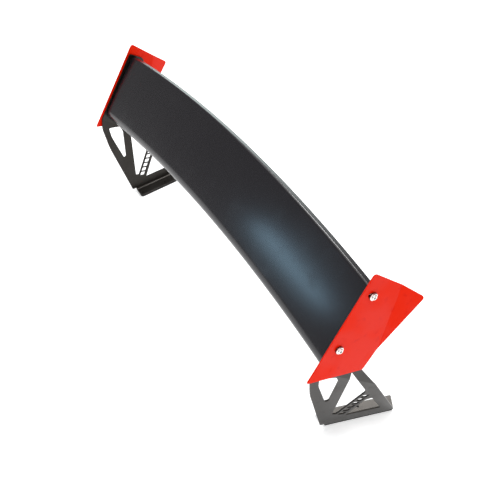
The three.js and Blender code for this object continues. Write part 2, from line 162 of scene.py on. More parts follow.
class Finish:
    """A material being built: node() adds any node and returns its output."""

    def __init__(self, name):
        self.material = bpy.data.materials.new(name)
        self.material.use_nodes = True
        self.tree = self.material.node_tree
        self.tree.nodes.clear()

    def node(self, kind, settings=None, inputs=None, output=0):
        """Adds a node: settings first, such as an operation, then its inputs' values or links."""
        made = self.tree.nodes.new(kind)
        for key, value in (settings or {}).items():
            setattr(made, key, value)
        for key, value in (inputs or {}).items():
            if isinstance(value, Wire):
                self.tree.links.new(value.socket, made.inputs[key])
            else:
                made.inputs[key].default_value = value
        return Wire(self, made.outputs[output])

    def place(self, stretch=(1, 1, 1), angle=(0, 0, 0)):
        """Object coordinates, in metres, stretched and then turned."""
        where = self.node("ShaderNodeTexCoord", output="Object")
        inputs = {"Vector": where, "Scale": stretch, "Rotation": angle}
        return self.node("ShaderNodeMapping", None, inputs)

    def noise(self, size, detail=2.0, where=None):
        """Soft noise from 0 to 1 whose blobs are about this size, in metres."""
        inputs = {"Vector": where or self.place(), "Scale": 1 / size, "Detail": detail}
        return self.node("ShaderNodeTexNoise", None, inputs)

    def ramp(self, value, low, high):
        """0 where a value is below low, 1 above high, and a smooth step between."""
        inputs = {"Value": value, "From Min": low, "From Max": high}
        return self.node("ShaderNodeMapRange", {"interpolation_type": "SMOOTHSTEP"}, inputs)

    def blend(self, factor, first, second):
        """Two colours mixed by a factor."""
        inputs = {0: factor, 6: (*first, 1), 7: (*second, 1)}
        return self.node("ShaderNodeMix", {"data_type": "RGBA"}, inputs, output=2)

    def bump(self, height, depth):
        """A normal bent by a height from 0 to 1 that stands for this depth, in metres."""
        return self.node("ShaderNodeBump", None, {"Height": height, "Distance": depth})

    def shade(self, **inputs):
        """Ties a Principled shader to the output. Names have _ for spaces."""
        named = {key.replace("_", " "): value for key, value in inputs.items()}
        shader = self.node("ShaderNodeBsdfPrincipled", None, named, output="BSDF")
        surface = self.tree.nodes.new("ShaderNodeOutputMaterial").inputs["Surface"]
        self.tree.links.new(shader.socket, surface)
        return self.material


# %% [markdown]
# ## Surfaces from arrays
#
# Two shapes cover the whole wing. A moulded or turned piece is a ring of points carried along
# or around something, so it is a grid. A sheet-metal piece is a flat outline with holes, given
# a thickness and then bent. Both are worked out as whole arrays and handed to Blender once.
# Normals are made to point outwards at the end, which also rights the mirrored left-hand copies.


# %% Rings, curves and finished pieces
def ring_faces(rings, around):
    """Quads between each ring of points and the next, closed round each ring."""
    start = np.arange(rings - 1)[:, None] * around
    step = np.arange(around)[None, :]
    after = (step + 1) % around
    corners = [start + step, start + after, start + around + after, start + around + step]
    return np.stack(np.broadcast_arrays(*corners), axis=-1).reshape(-1, 4).tolist()


def bezier(corners, steps):
    """A Bezier curve: every corner weighted by comb(n, k) * t^k * (1 - t)^(n - k)."""
    t = np.linspace(0, 1, steps)[:, None]
    degree = len(corners) - 1
    k = np.arange(degree + 1)
    share = np.array([math.comb(degree, i) for i in k])
    return (share * t**k * (1 - t) ** (degree - k)) @ np.array(corners, float)


def make_piece(name, points, faces, material, body, sharp=35):
    """A mesh object at the origin with outward normals, which rides on a body."""
    mesh = bpy.data.meshes.new(name)
    mesh.from_pydata(points.tolist(), [], faces)
    shape = bmesh.new()
    shape.from_mesh(mesh)
    bmesh.ops.recalc_face_normals(shape, faces=shape.faces)
    shape.to_mesh(mesh)
    shape.free()
    mesh.shade_smooth()
    mesh.set_sharp_from_angle(angle=math.radians(sharp))
    mesh.materials.append(material)
    piece = bpy.data.objects.new(name, mesh)
    bpy.context.scene.collection.objects.link(piece)
    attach(piece, body)
    return piece


SIDES = {"right": 1, "left": -1}


def mirrored(points, sign):
    """Points of a right-hand piece, flipped across the middle plane for the left."""
    return points * (sign, 1, 1)


# %% [markdown]
# ## The foil's finish: satin black gelcoat
#
# The foil is laid up in a mould, so its outer skin is gelcoat: smooth, slightly wavy where the
# laminate shrank behind it, and dulled by handling. A wave texture would look machined. Two
# sizes of noise are enough: a broad one for the dullness and a fine one for the orange peel.


# %% Gelcoat
def gelcoat():
    """Gelcoat: roughness is a base, plus a share of the broad noise, plus one of the smears."""
    finish = Finish("black_gelcoat")
    cloud = finish.noise(0.16, 4)
    smear = finish.ramp(finish.noise(0.05, 6), 0.52, 0.75)
    peel = finish.noise(0.0035, 2)
    colour = finish.blend(cloud, (0.009, 0.0075, 0.01), (0.014, 0.012, 0.015))
    rough = 0.19 + 0.05 * cloud + 0.05 * smear
    normal = finish.bump(peel, 0.000012)
    return finish.shade(Base_Color=colour, Roughness=rough, Normal=normal)


# %% [markdown]
# ## The sheets' finishes: powder coat
#
# Powder is sprayed on dry and melted in an oven. It flows into a skin with a faint orange peel,
# a millimetre or two across, and it is a little thinner, so a little duller, in patches. One
# recipe makes both the orange-red of the end plates and the black of the uprights.


# %% Powder coat
def powder_coat(name, light, dark, shine, tint):
    """Powder coat: grime darkens and dulls it, and a clear gloss lies over it in patches."""
    finish = Finish(name)
    patch = finish.noise(0.07, 3)
    grime = finish.ramp(finish.noise(0.018, 5), 0.56, 0.78)
    peel = finish.noise(0.0022, 2)
    shiny = finish.ramp(patch, 0.4, 0.62)
    colour = finish.blend(shiny * 0.2 + grime * 0.8, light, dark)
    rough = 0.28 + 0.08 * patch + 0.08 * grime
    normal = finish.bump(peel, 0.00005)
    coat = {"Specular_IOR_Level": shine, "Specular_Tint": (*tint, 1)}
    coat |= {"Coat_Weight": 0.03 + 0.2 * shiny, "Coat_Roughness": 0.25, "Coat_IOR": 1.35}
    return finish.shade(Base_Color=colour, Roughness=rough, Normal=normal, **coat)


# %% [markdown]
# ## Fasteners and hidden pieces
#
# Stainless button heads are turned, so their fine marks run in rings, but at this size a
# mottled roughness reads the same from every side. The washers under the heads are black
# zinc, and the spacers are stainless. Inside, the inserts are brass, and the ribs and spars are
# raw glass laminate with its woven ridges. The pads under the feet are rubber, matt and
# slightly speckled with dust.


# %% Metals, rubber and laminate
def bare_metal(name, light, dark, gloss):
    """A bare metal: its roughness is gloss plus a share of a fine mottle."""
    finish = Finish(name)
    mottle = finish.noise(0.002, 4)
    marks = finish.noise(0.0006, 2, finish.place(stretch=(1, 6, 6)))
    colour = finish.blend(mottle, light, dark)
    normal = finish.bump(marks, 0.00001)
    rough = gloss + 0.12 * mottle
    return finish.shade(Base_Color=colour, Roughness=rough, Normal=normal, Metallic=1.0)


def rubber():
    """Rubber: dust is a noise cut off at half, and makes the black paler and rougher."""
    finish = Finish("pad_rubber")
    dust = finish.ramp(finish.noise(0.004, 6), 0.5, 0.8)
    grain = finish.noise(0.0009, 3)
    colour = finish.blend(dust, (0.012, 0.012, 0.012), (0.035, 0.034, 0.032))
    rough = 0.78 + 0.15 * dust
    normal = finish.bump(grain, 0.00006)
    return finish.shade(Base_Color=colour, Roughness=rough, Normal=normal)


def laminate():
    """Glass laminate: the weave is one band wave times another that crosses it."""
    WEAVE = 0.003
    finish = Finish("raw_laminate")
    lean = finish.place(angle=(0, math.radians(45), 0))
    waves = [
        finish.node(
            "ShaderNodeTexWave",
            {"bands_direction": direction},
            {"Vector": lean, "Scale": 0.31 / WEAVE, "Distortion": 0.6},
            output=1,
        )
        for direction in "XZ"
    ]
    weave = waves[0] * waves[1]
    resin = finish.noise(0.02, 4)
    colour = finish.blend(weave * 0.6 + resin * 0.4, (0.05, 0.052, 0.03), (0.13, 0.135, 0.09))
    rough = 0.75 - 0.2 * resin
    normal = finish.bump(weave, 0.0002)
    return finish.shade(Base_Color=colour, Roughness=rough, Normal=normal)


black_gelcoat = gelcoat()
red_powder = powder_coat(
    "red_powder", (0.8, 0.016, 0.001), (0.7, 0.006, 0.0005), 0.06, (1, 0.4, 0.15)
)
black_powder = powder_coat(
    "black_powder", (0.006, 0.005, 0.004), (0.003, 0.0027, 0.0025), 0.32, (1, 0.92, 0.84)
)
stainless = bare_metal("bright_stainless", (0.9, 0.89, 0.87), (0.74, 0.73, 0.71), 0.14)
black_zinc = bare_metal("black_zinc", (0.06, 0.06, 0.065), (0.03, 0.03, 0.035), 0.3)
brass = bare_metal("turned_brass", (0.75, 0.52, 0.2), (0.6, 0.4, 0.14), 0.22)
pad_rubber = rubber()
raw_laminate = laminate()
print("finishes:", len(bpy.data.materials))

# %% [markdown]
# ## The foil
#
# The foil is a hollow moulding in two skins, joined under the nose and inside the trailing lip.
# It could be a subdivided box, but its section is a drawn curve, so each skin is that curve and
# its inner offset, carried along the span. The span bows aft and up towards the middle by a
# parabola, and each end is cut parallel to its end plate. The trailing crease is rounded over
# 4 mm, which is what catches the light as a thin bright line.

# %% Foil section
LIP = (247.5, -33)
CREASE = (245, -17)
CROWN = (66, -10.5)
NOSE = (39.5, -33)
KEEL = (62, -55)
CREASE_ROUND = 4
FOIL_SWEEP = 38 * MM
FOIL_ARCH = 6 * MM
SEAM = 0.5
TAIL_GAP = 0.8 * MM  # between the lower skin's tail and the inside of the lip
PLATE_HALF_WIDTH = plate_in_foil[0, 3]
RUNNING_GAP = 1.3 * MM
WASHER_THICKNESS = 1.6 * MM
UPRIGHT_OUTER = -PLATE_THICKNESS - GAP
UPRIGHT_INNER = UPRIGHT_OUTER - UPRIGHT_THICKNESS
SPACER_OUTER = UPRIGHT_INNER - RUNNING_GAP
FOIL_END = SPACER_OUTER - WASHER_THICKNESS - GAP


def toward(start, end, distance):
    """The point at a distance from one point towards another."""
    step = np.subtract(end, start)
    return np.array(start) + step * (distance / np.linalg.norm(step))


def joined(*curves):
    """Curves end to end, without the doubled points where they meet."""
    return np.concatenate([curves[0], *(curve[1:] for curve in curves[1:])])


shoulder = (150, CROWN[1])
before_crease = toward(CREASE, LIP, CREASE_ROUND)
after_crease = toward(CREASE, shoulder, CREASE_ROUND)
top_line = MM * joined(
    bezier([toward(LIP, CREASE, SEAM), before_crease], 4),
    bezier([before_crease, CREASE, after_crease], 10),
    bezier([after_crease, shoulder, CROWN], 48),
    bezier([CROWN, (50, CROWN[1]), (NOSE[0], -20), NOSE], 24),
    bezier([NOSE, (NOSE[0], -46), (48, KEEL[1]), toward(KEEL, (48, KEEL[1]), SEAM)], 24),
)
keel_line = MM * bezier([KEEL, (120, KEEL[1]), (212, -56), LIP], 72)
keel_line = keel_line[keel_line[:, 0] < LIP[0] * MM - SKIN_THICKNESS - TAIL_GAP]
print("chord:", round(top_line[:, 0].max() - top_line[:, 0].min(), 4))


# %% [markdown]
# ## The foil's two skins
#
# A skin is a closed ring: the outer line out and the inner offset back. A Solidify modifier
# could thicken a single surface, but it would leave the wall's ends unshaped where the skins
# meet. Carrying the whole ring from end to end, and capping it, gives an even wall throughout.


# %% Foil skins
def inset_line(line, distance):
    """A line moved to its left: along it, the normal is the tangent turned a quarter."""
    tangent = np.gradient(line, axis=0)
    tangent /= np.linalg.norm(tangent, axis=1, keepdims=True)
    return line + distance * np.stack([-tangent[:, 1], tangent[:, 0]], axis=1)


def along_span(section, stations):
    """A section at stations from -1 to 1.

    x is the station times the half-span at that point of the section. y and z are the
    section's own, plus the sweep or the arch times 1 - station^2.
    """
    tilt = plate_in_foil[:3, 0]
    half = PLATE_HALF_WIDTH + (FOIL_END - section @ tilt[1:]) / tilt[0]
    bow = (1 - stations**2)[:, None]
    x = stations[:, None] * half
    y = section[:, 0] + FOIL_SWEEP * bow
    z = section[:, 1] + FOIL_ARCH * bow
    return carried(np.stack([x, y, z], axis=-1).reshape(-1, 3), foil_frame)


def skin(name, line, stands_for):
    """One moulded skin: its outer line and its inner offset, carried from end to end."""
    STATIONS = 141  # along the span
    section = np.concatenate([line, inset_line(line, SKIN_THICKNESS)[::-1]])
    around = len(section)
    points = along_span(section, np.linspace(-1, 1, STATIONS))
    near = np.arange(len(line) - 1)
    far = around - 1 - near
    cap = np.stack([near, near + 1, far - 1, far], axis=-1)
    last = (STATIONS - 1) * around
    faces = ring_faces(STATIONS, around) + cap.tolist() + (cap + last).tolist()
    piece = make_piece(name, points, faces, black_gelcoat, "foil")
    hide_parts(stands_for)
    print(name, "faces:", len(faces))


skin("foil_top_moulding", top_line, "foil_upper_skin")
skin("foil_bottom_moulding", keel_line, "foil_lower_skin")

# %% [markdown]
# ## Cut and folded sheet
#
# The end plates and uprights start as flat blanks cut by laser, and are then pressed over a
# rounded tool. Modelling them the same way keeps their thickness even through every bend. The
# outlines come first: a few corners, each with how far its rounding reaches, and the slots.


# %% Outlines
def rounded(corners, steps=9):
    """An outline through corners [a, b, radius], with a curve in place of each sharp corner."""
    outline = []
    for i, (a, b, *radius) in enumerate(corners):
        here = np.array((a, b), float)
        before = corners[i - 1][:2]
        after = corners[(i + 1) % len(corners)][:2]
        if radius:
            ends = [toward(here, before, radius[0]), toward(here, after, radius[0])]
            outline.append(bezier([ends[0], here, ends[1]], steps))
        else:
            outline.append(here[None])
    return np.concatenate(outline) * MM


def slot_outline(centre, travel, radius, steps=20):
    """A slot along b: two half circles, moved apart by the travel each way."""
    angle = np.linspace(0, math.pi, steps)
    arc = radius * np.stack([np.cos(angle), np.sin(angle)], axis=1)
    ends = [arc + (0, travel), -arc - (0, travel)]
    return (np.concatenate(ends) + centre) * MM


# %% [markdown]
# ## The flat blank
#
# A laser leaves a square edge, and deburring rounds it over by half a millimetre. A Bevel
# modifier would do that too, but it would also bevel the rings of every bend. So each outline
# is repeated in rings that step inwards near the two faces, and the faces are filled between.


# %% The blank
def wound(loop, way):
    """A loop without doubled points, anticlockwise for way 1 and clockwise for -1.

    The way round is the sign of the area: half the sum of a * next b - next a * b.
    """
    loop = loop[np.linalg.norm(np.roll(loop, -1, axis=0) - loop, axis=1) > 1e-7]
    after = np.roll(loop, -1, axis=0)
    area = np.sum(loop[:, 0] * after[:, 1] - after[:, 0] * loop[:, 1])
    return loop if area * way > 0 else loop[::-1]


def inward(loop):
    """Normals to the left of a closed loop, stretched at corners so that sides stay parallel."""
    edge = np.roll(loop, -1, axis=0) - loop
    edge /= np.linalg.norm(edge, axis=1, keepdims=True)
    mean = edge + np.roll(edge, 1, axis=0)
    mean /= np.linalg.norm(mean, axis=1, keepdims=True)
    stretch = 1 / np.sum(mean * edge, axis=1)
    return np.stack([-mean[:, 1], mean[:, 0]], axis=1) * stretch[:, None]


def blank(outline, holes, thickness, round_over=0.45 * MM):
    """A flat sheet from x = 0 back to -thickness, with rounded cut edges.

    At an angle a round the edge, the cut line is inset by round_over * (1 - sin a) at a
    depth of round_over * (1 - cos a) under each face.
    """
    loops = [wound(outline, 1), *(wound(hole, -1) for hole in holes)]
    a = np.linspace(0, math.pi / 2, 4)
    inset = round_over * (1 - np.sin(a))
    depth = round_over * (1 - np.cos(a))
    inset = np.concatenate([inset, inset[::-1]])
    x = -np.concatenate([depth, thickness - depth[::-1]])
    points, faces, rims, first = [], [], [], 0
    for loop in loops:
        rings = loop + inset[:, None, None] * inward(loop)
        heights = np.broadcast_to(x[:, None, None], (*rings.shape[:2], 1))
        points.append(np.concatenate([heights, rings], axis=-1).reshape(-1, 3))
        faces += (np.array(ring_faces(len(x), len(loop))) + first).tolist()
        rims.append(first + np.arange(len(loop)))
        first += len(x) * len(loop)
    points = np.concatenate(points)
    flat = [[Vector((*points[i, 1:], 0)) for i in rim] for rim in rims]
    triangles = np.array(tessellate_polygon(flat))
    front = np.concatenate(rims)
    back = np.concatenate([rim + (len(x) - 1) * len(rim) for rim in rims])
    faces += front[triangles].tolist() + back[triangles].tolist()
    return points, faces


# %% [markdown]
# ## Press-brake bends
#
# A bend could be made with a Simple Deform modifier, but that squeezes the sheet's thickness
# and bends all of it. Here the flat faces are first scored where the rings of the bend will
# be, and one formula then wraps whatever lies past the bend line round an axis.


# %% Bends
class Bend:
    """A press-brake bend: everything past a line in the sheet wraps round an axis.

    way is 1 where the sheet folds towards +x and -1 where it folds away. radius is from the
    axis to the face at x = 0, and the bend starts that far past the line.
    """

    def __init__(self, on_line, across, angle, radius, way, starts=0.0, steps=5):
        self.on_line = np.array((0, *on_line))
        self.across = np.array((0, *across))
        self.angle = angle
        self.radius = radius
        self.way = way
        self.starts = starts
        self.steps = steps

    def score(self, shape):
        """Cuts the flat sheet's faces at the rings of the bend."""
        for share in np.linspace(0, 1, self.steps + 1):
            reach = self.starts + self.radius * self.angle * share
            everything = [*shape.verts, *shape.edges, *shape.faces]
            bmesh.ops.bisect_plane(
                shape,
                geom=everything,
                dist=1e-7,
                plane_co=self.on_line + self.across * reach,
                plane_no=self.across,
            )

    def press(self, points):
        """d past the start turns into an angle d / radius, and what is left runs on straight."""
        d = (points - self.on_line) @ self.across - self.starts
        angle = np.clip(d / self.radius, 0, self.angle)
        left = np.maximum(d - self.radius * self.angle, 0)
        r = self.radius - self.way * points[:, 0]
        along = np.where(d > 0, r * np.sin(angle) + left * np.cos(angle), d)
        lift = self.way * (self.radius - r * np.cos(angle) + left * np.sin(angle))
        moved = points + (along - d)[:, None] * self.across
        moved[:, 0] = np.where(d > 0, lift, points[:, 0])
        return moved


def pressed(points, faces, bends):
    """The blank after every bend: scored, then each bend applied to all points."""
    mesh = bpy.data.meshes.new("blank")
    mesh.from_pydata(points.tolist(), [], faces)
    shape = bmesh.new()
    shape.from_mesh(mesh)
    bpy.data.meshes.remove(mesh)
    for bend in bends:
        bend.score(shape)
    points = np.array([vertex.co for vertex in shape.verts])
    faces = [[vertex.index for vertex in face.verts] for face in shape.faces]
    shape.free()
    for bend in bends:
        points = bend.press(points)
    return points, faces


def sheet_piece(name, points, faces, material, stands_for):
    """A finished sheet, with the flat faces ruling the shading at its rounded edges."""
    piece = make_piece(name, points, faces, material, "frame", sharp=50)
    weighted = piece.modifiers.new("flat_faces_first", "WEIGHTED_NORMAL")
    weighted.keep_sharp = True
    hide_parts(stands_for)


# %% [markdown]
# ## End plates
#
# Each end plate is a 3 mm sheet with one corner folded outwards, which stiffens it and turns
# the air. Its two slots stand square to the chord: the foil's bolts slide in them to set its
# height and its incidence. The blank is drawn flat, with the corner's tip measured from the
# fold line, and the bend takes it out by fourteen degrees.

# %% End plates
FRONT_BOLT = np.array((95, -28))
REAR_BOLT = np.array((231, -28))
BOLT_HOLE_RADIUS = 4.8
HEIGHT_TRAVEL = 3
INCIDENCE_TRAVEL = math.radians(1.5)
CORNER_FOLD = math.radians(14)
CORNER_RADIUS = 3 * MM
TIP_ALONG = 141  # from the front end of the fold, along it
TIP_OUT = 63.5  # and square to it
rear_travel = HEIGHT_TRAVEL + (REAR_BOLT - FRONT_BOLT)[0] * math.sin(INCIDENCE_TRAVEL)
bolt_slots = [
    slot_outline(FRONT_BOLT, HEIGHT_TRAVEL, BOLT_HOLE_RADIUS),
    slot_outline(REAR_BOLT, rear_travel, BOLT_HOLE_RADIUS),
]

fold_front = np.array((103.5, -136))
fold_rear = np.array((267, -88.5))
fold_along = (fold_rear - fold_front) / np.linalg.norm(fold_rear - fold_front)
fold_across = np.array((fold_along[1], -fold_along[0]))
tip = fold_front + fold_along * TIP_ALONG + fold_across * TIP_OUT
plate_outline = rounded(
    [
        (0, 0, 5),
        (48, -132.5, 7),
        fold_front,
        (*tip, 9),
        fold_rear,
        (279.5, 0, 11),
    ]
)
corner_fold = Bend(fold_front * MM, fold_across, CORNER_FOLD, CORNER_RADIUS, way=1)
plate_points, plate_faces = pressed(
    *blank(plate_outline, bolt_slots, PLATE_THICKNESS), [corner_fold]
)
plate_points = carried(plate_points, plate_frame)
for hand, sign in SIDES.items():
    sheet_piece(
        f"folded_end_plate_{hand}",
        mirrored(plate_points, sign),
        plate_faces,
        red_powder,
        f"end_plate_{hand}",
    )
print("end plate faces:", len(plate_faces))

# %% [markdown]
# ## Uprights
#
# An upright is one 4 mm sheet with two bends. At its foot it rolls through eighty degrees into
# a level flange. Higher up, a shallow fold brings its top flat against the end plate. The top's
# outline is drawn in the end plate's frame, so it is unfolded first: each of its points is
# turned about the fold line until it lies in the lower panel's plane, and one blank holds
# both. A row of plain slanted slots lightens the diagonal strut.

# %% The fold line between the two panels
to_panel = np.linalg.inv(panel_frame)
cheek_normal = (to_panel @ plate_frame)[:3, 0]
cheek_point = carried(np.array([[UPRIGHT_OUTER, 0, 0]]), to_panel @ plate_frame)[0]
fold_direction = np.cross((1, 0, 0), cheek_normal)
fold_angle = math.asin(np.linalg.norm(fold_direction))
fold_direction /= np.linalg.norm(fold_direction)
planes = np.array([(1, 0, 0), cheek_normal, fold_direction])
fold_point = np.linalg.solve(planes, (0, cheek_normal @ cheek_point, 0))
across_lower = np.cross(fold_direction, (1, 0, 0))
across_upper = np.cross(fold_direction, cheek_normal)


def unfolded(points):
    """End-plate points laid in the lower panel's plane.

    The distance along the fold line and the distance from it both stay, and only the
    direction square to the line changes from the upper panel's to the lower panel's.
    """
    heights = np.full((len(points), 1), UPRIGHT_OUTER)
    there = carried(np.hstack([heights, points]), to_panel @ plate_frame) - fold_point
    along = there @ fold_direction
    out = there @ across_upper
    flat = fold_point + along[:, None] * fold_direction + out[:, None] * across_lower
    return flat[:, 1:]


print("fold between the panels:", round(math.degrees(fold_angle), 2), "degrees")

# %% [markdown]
# ## The upright's blank
#
# Cutting the windows with booleans after bending would leave ragged walls. They are holes in
# the flat outline instead, so each gets the same rounded edge as the outside. The flange lies
# below zero here, further down by the length of metal that its bend takes up.

# %% The upright's outline and windows
FOOT_LENGTH = 193
FOOT_WIDTH = 43
FOOT_SPLAY = 15  # how much further back the foot reaches at its inner edge
FOOT_HOLE_RADIUS = 3.4
FOOT_HOLES = (17, 112)  # along the foot
FOOT_HOLE_LINE = 31  # inwards from the bend
STRUT = 25
BEND_LENGTH = FOOT_BEND_RADIUS / MM * (math.pi / 2 - UPRIGHT_LEAN)
BEND_WIDTH = FOOT_BEND_RADIUS / MM * math.cos(UPRIGHT_LEAN)


def down_flange(inwards):
    """Where a point of the level flange lies on the blank: below the bend's own length."""
    return BEND_WIDTH - BEND_LENGTH - inwards


cheek_corners = unfolded(
    np.array([(62, -104), (150, -92), (251, -58), (251, -5.5), (29.62, -5.5)]) * MM
)
cheek_radii = (26, 30, 14, 8, 6)
cheek = [(*(corner / MM), radius) for corner, radius in zip(cheek_corners, cheek_radii)]
upright_outline = rounded(
    [
        (0, 0, 2),
        (14, 0, 1.5),
        (14, -12, 1.5),
        (3.5, down_flange(FOOT_WIDTH), 11),
        (FOOT_LENGTH + FOOT_SPLAY, down_flange(FOOT_WIDTH), 4),
        (FOOT_LENGTH + 0.5, 0, 2),
        (100.6, 156.6, 4),
        *cheek,
        (-72, 238, 10),
        (-58, 168, 18),
    ]
)
windows = [
    [(-49, 233, 5), (-9, 226, 6), (0.5, 206, 6), (-4, 123, 4), (-13, 121, 4), (-45, 203, 8)],
    [(29, 226, 4), (27, 200, 6), (20.5, 46, 3), (33, 42, 3), (85, 124, 3), (85, 131, 3)],
    [(59, STRUT, 3), (151, STRUT, 3), (145, 33, 4), (112, 88, 5), (95, 84, 3)],
]


def strut_slots():
    """Slanted slots along the diagonal strut, with a thin rail left at each side."""
    COUNT, RAIL, BAR, SLANT = 6, 4.5, 4, 6
    foot = np.array((43, 33))
    head = np.array((93, 110))
    length = np.linalg.norm(head - foot)
    along = (head - foot) / length
    across = np.array((along[1], -along[0])) * (STRUT / 2 - RAIL)
    pitch = length / COUNT
    slots = []
    for start in np.arange(COUNT) * pitch:
        reach = [(start, -1), (start + pitch - BAR, -1)]
        reach += [(start + pitch - BAR + SLANT, 1), (start + SLANT, 1)]
        slots.append([(*(foot + a * along + c * across), 1.5) for a, c in reach])
    return slots


foot_holes = [
    slot_outline((s, down_flange(FOOT_HOLE_LINE)), 0, FOOT_HOLE_RADIUS) for s in FOOT_HOLES
]
holes = [rounded(corners) for corners in windows + strut_slots()]
holes += foot_holes + [unfolded(loop) for loop in bolt_slots]
print("openings cut in one upright:", len(holes))

# %% [markdown]
# ## The uprights, pressed
#
# The shallow fold is pressed first and the foot last, as in the workshop. The rounded fold
# starts a little before the line where the two flat panels would meet, by its radius times the
# tangent of half the angle, so that both panels stay in their own planes.

# %% Both uprights
FOLD_RADIUS = 8 * MM
fold_set_back = FOLD_RADIUS * math.tan(fold_angle / 2)
upright_fold = Bend(
    fold_point[1:], across_lower[1:], fold_angle, FOLD_RADIUS, way=-1, starts=-fold_set_back
)
foot_bend = Bend(
    (0, 0), (0, -1), math.pi / 2 - UPRIGHT_LEAN, FOOT_BEND_RADIUS, way=-1, steps=14
)
upright_points, upright_faces = pressed(
    *blank(upright_outline, holes, UPRIGHT_THICKNESS), [upright_fold, foot_bend]
)
upright_points = carried(upright_points, panel_frame)
for hand, sign in SIDES.items():
    sheet_piece(
        f"truss_upright_{hand}",
        mirrored(upright_points, sign),
        upright_faces,
        black_powder,
        f"upright_{hand}",
    )
low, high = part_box("upright_right")
print("upright against its CAD box:", np.round(upright_points.min(0) - low, 4))
print("and at its high corner:", np.round(upright_points.max(0) - high, 4))

# %% [markdown]
# ## Foot pads
#
# A rubber pad under each flange keeps the foot off the paint. It is cut from sheet too, so it
# uses the same blank, laid level: its thickness stands up, and its width runs inwards.

# %% Foot pads
PAD_MARGIN = 1.5
lay_level = np.array([(0, 0, -1, 0), (0, 1, 0, 0), (1, 0, 0, 0), (0, 0, 0, 1)], float)
pad_outline = rounded(
    [
        (15.5, 4),
        (15.5, 8, 2),
        (5, FOOT_WIDTH + PAD_MARGIN, 11),
        (FOOT_LENGTH + FOOT_SPLAY, FOOT_WIDTH + PAD_MARGIN, 4),
        (FOOT_LENGTH + 1, 4),
    ]
)
pad_holes = [slot_outline((s, FOOT_HOLE_LINE), 0, FOOT_HOLE_RADIUS) for s in FOOT_HOLES]
pad_points, pad_faces = blank(pad_outline, pad_holes, GASKET_THICKNESS)
pad_points = carried(pad_points, foot_frame @ shifted(0, 0, -BEND_RISE - GAP) @ lay_level)
for hand, sign in SIDES.items():
    sheet_piece(
        f"rubber_foot_pad_{hand}",
        mirrored(pad_points, sign),
        pad_faces,
        pad_rubber,
        f"foot_gasket_{hand}",
    )
print("pad's lowest point:", round(pad_points[:, 2].min(), 5))

# %% [markdown]
# ## Bolts and washers
#
# The four bolts are flanged button heads with a hexagon socket. A bolt is a profile turned
# round its axis, except where it isn't round: the socket's walls follow a hexagon, whose
# radius is its half width over the cosine of the angle from the nearest flat, and the thread's
# crest moves along as it goes round. Both are the same grid with a radius that varies.

# %% Turned pieces
BOLT_RADIUS = 4
BOLT_HEAD_RADIUS = 8.7
BOLT_HEAD_HEIGHT = 5
FLANGE_WIDTH = 2.4  # the flat rim round the head's dome
DOME_FOOT = 2  # the dome starts this far above the seat
DOME_TOP_RADIUS = 4.3
SOCKET_HALF_WIDTH = 2.5
SOCKET_DEPTH = 3
BOLT_REACH = 13
THREAD_PITCH = 1.25
THREAD_DEPTH = 0.55


def turned_piece(profile, around=60, hexagon=0.0, thread=0.0):
    """Rings round the X axis: profile holds radius and x, both in millimetres.

    hexagon is 1 on the rings that follow a hexagon, and thread is 1 on the rings where the
    radius drops and rises with x / pitch plus the share of a turn.
    """
    profile = np.array(profile, float)
    radius, x = profile[:, :1], profile[:, 1:]
    angle = np.linspace(0, 2 * math.pi, around, endpoint=False)
    flat = np.mod(angle, math.pi / 3) - math.pi / 6
    share = np.mod(x / THREAD_PITCH + angle / (2 * math.pi), 1)
    groove = THREAD_DEPTH * np.abs(2 * share - 1)
    widened = radius * (1 + hexagon * (1 / np.cos(flat) - 1)) - thread * groove
    x = np.broadcast_to(x, widened.shape)
    rings = np.stack([x, widened * np.cos(angle), widened * np.sin(angle)], axis=-1)
    return rings.reshape(-1, 3) * MM


def bolt_shape():
    """A bolt with its head's seat at x = 0, its head outwards and its shank inwards."""
    length = BOLT_REACH + (WASHER_THICKNESS + RUNNING_GAP - FOIL_END) / MM
    shank = np.linspace(-length + 1.2, -3, 120)
    dome = np.linspace(0, math.pi / 2, 12)
    dome_reach = BOLT_HEAD_RADIUS - FLANGE_WIDTH - DOME_TOP_RADIUS
    dome_radius = DOME_TOP_RADIUS + dome_reach * np.cos(dome)
    dome_x = DOME_FOOT + (BOLT_HEAD_HEIGHT - DOME_FOOT) * np.sin(dome)
    mouth = BOLT_HEAD_HEIGHT - SOCKET_DEPTH
    head = [(BOLT_RADIUS, -2.6), (BOLT_RADIUS, 0), (BOLT_HEAD_RADIUS - 0.2, 0)]
    head += [(BOLT_HEAD_RADIUS, 0.2), (BOLT_HEAD_RADIUS, 1.3), (BOLT_HEAD_RADIUS - 0.3, 1.6)]
    socket = [(3.1, BOLT_HEAD_HEIGHT), (2.95, BOLT_HEAD_HEIGHT - 0.2)]
    walls = [(SOCKET_HALF_WIDTH, BOLT_HEAD_HEIGHT - 0.55), (SOCKET_HALF_WIDTH, mouth)]
    end = [(BOLT_RADIUS - 1, -length), (BOLT_RADIUS - 0.5, -length + 0.6)]
    profile = np.concatenate(
        [
            end,
            np.stack([np.full(len(shank), BOLT_RADIUS), shank], axis=1),
            head,
            np.stack([dome_radius, dome_x], axis=1),
            socket,
            walls,
        ]
    )
    thread = np.zeros((len(profile), 1))
    thread[len(end) : len(end) + len(shank)] = 1
    hexagon = np.zeros((len(profile), 1))
    hexagon[-len(walls) :] = 1
    points = turned_piece(profile, hexagon=hexagon, thread=thread)
    around = len(points) // len(profile)
    caps = [list(range(around)), list(range(len(points) - around, len(points)))]
    return points, ring_faces(len(profile), around) + caps


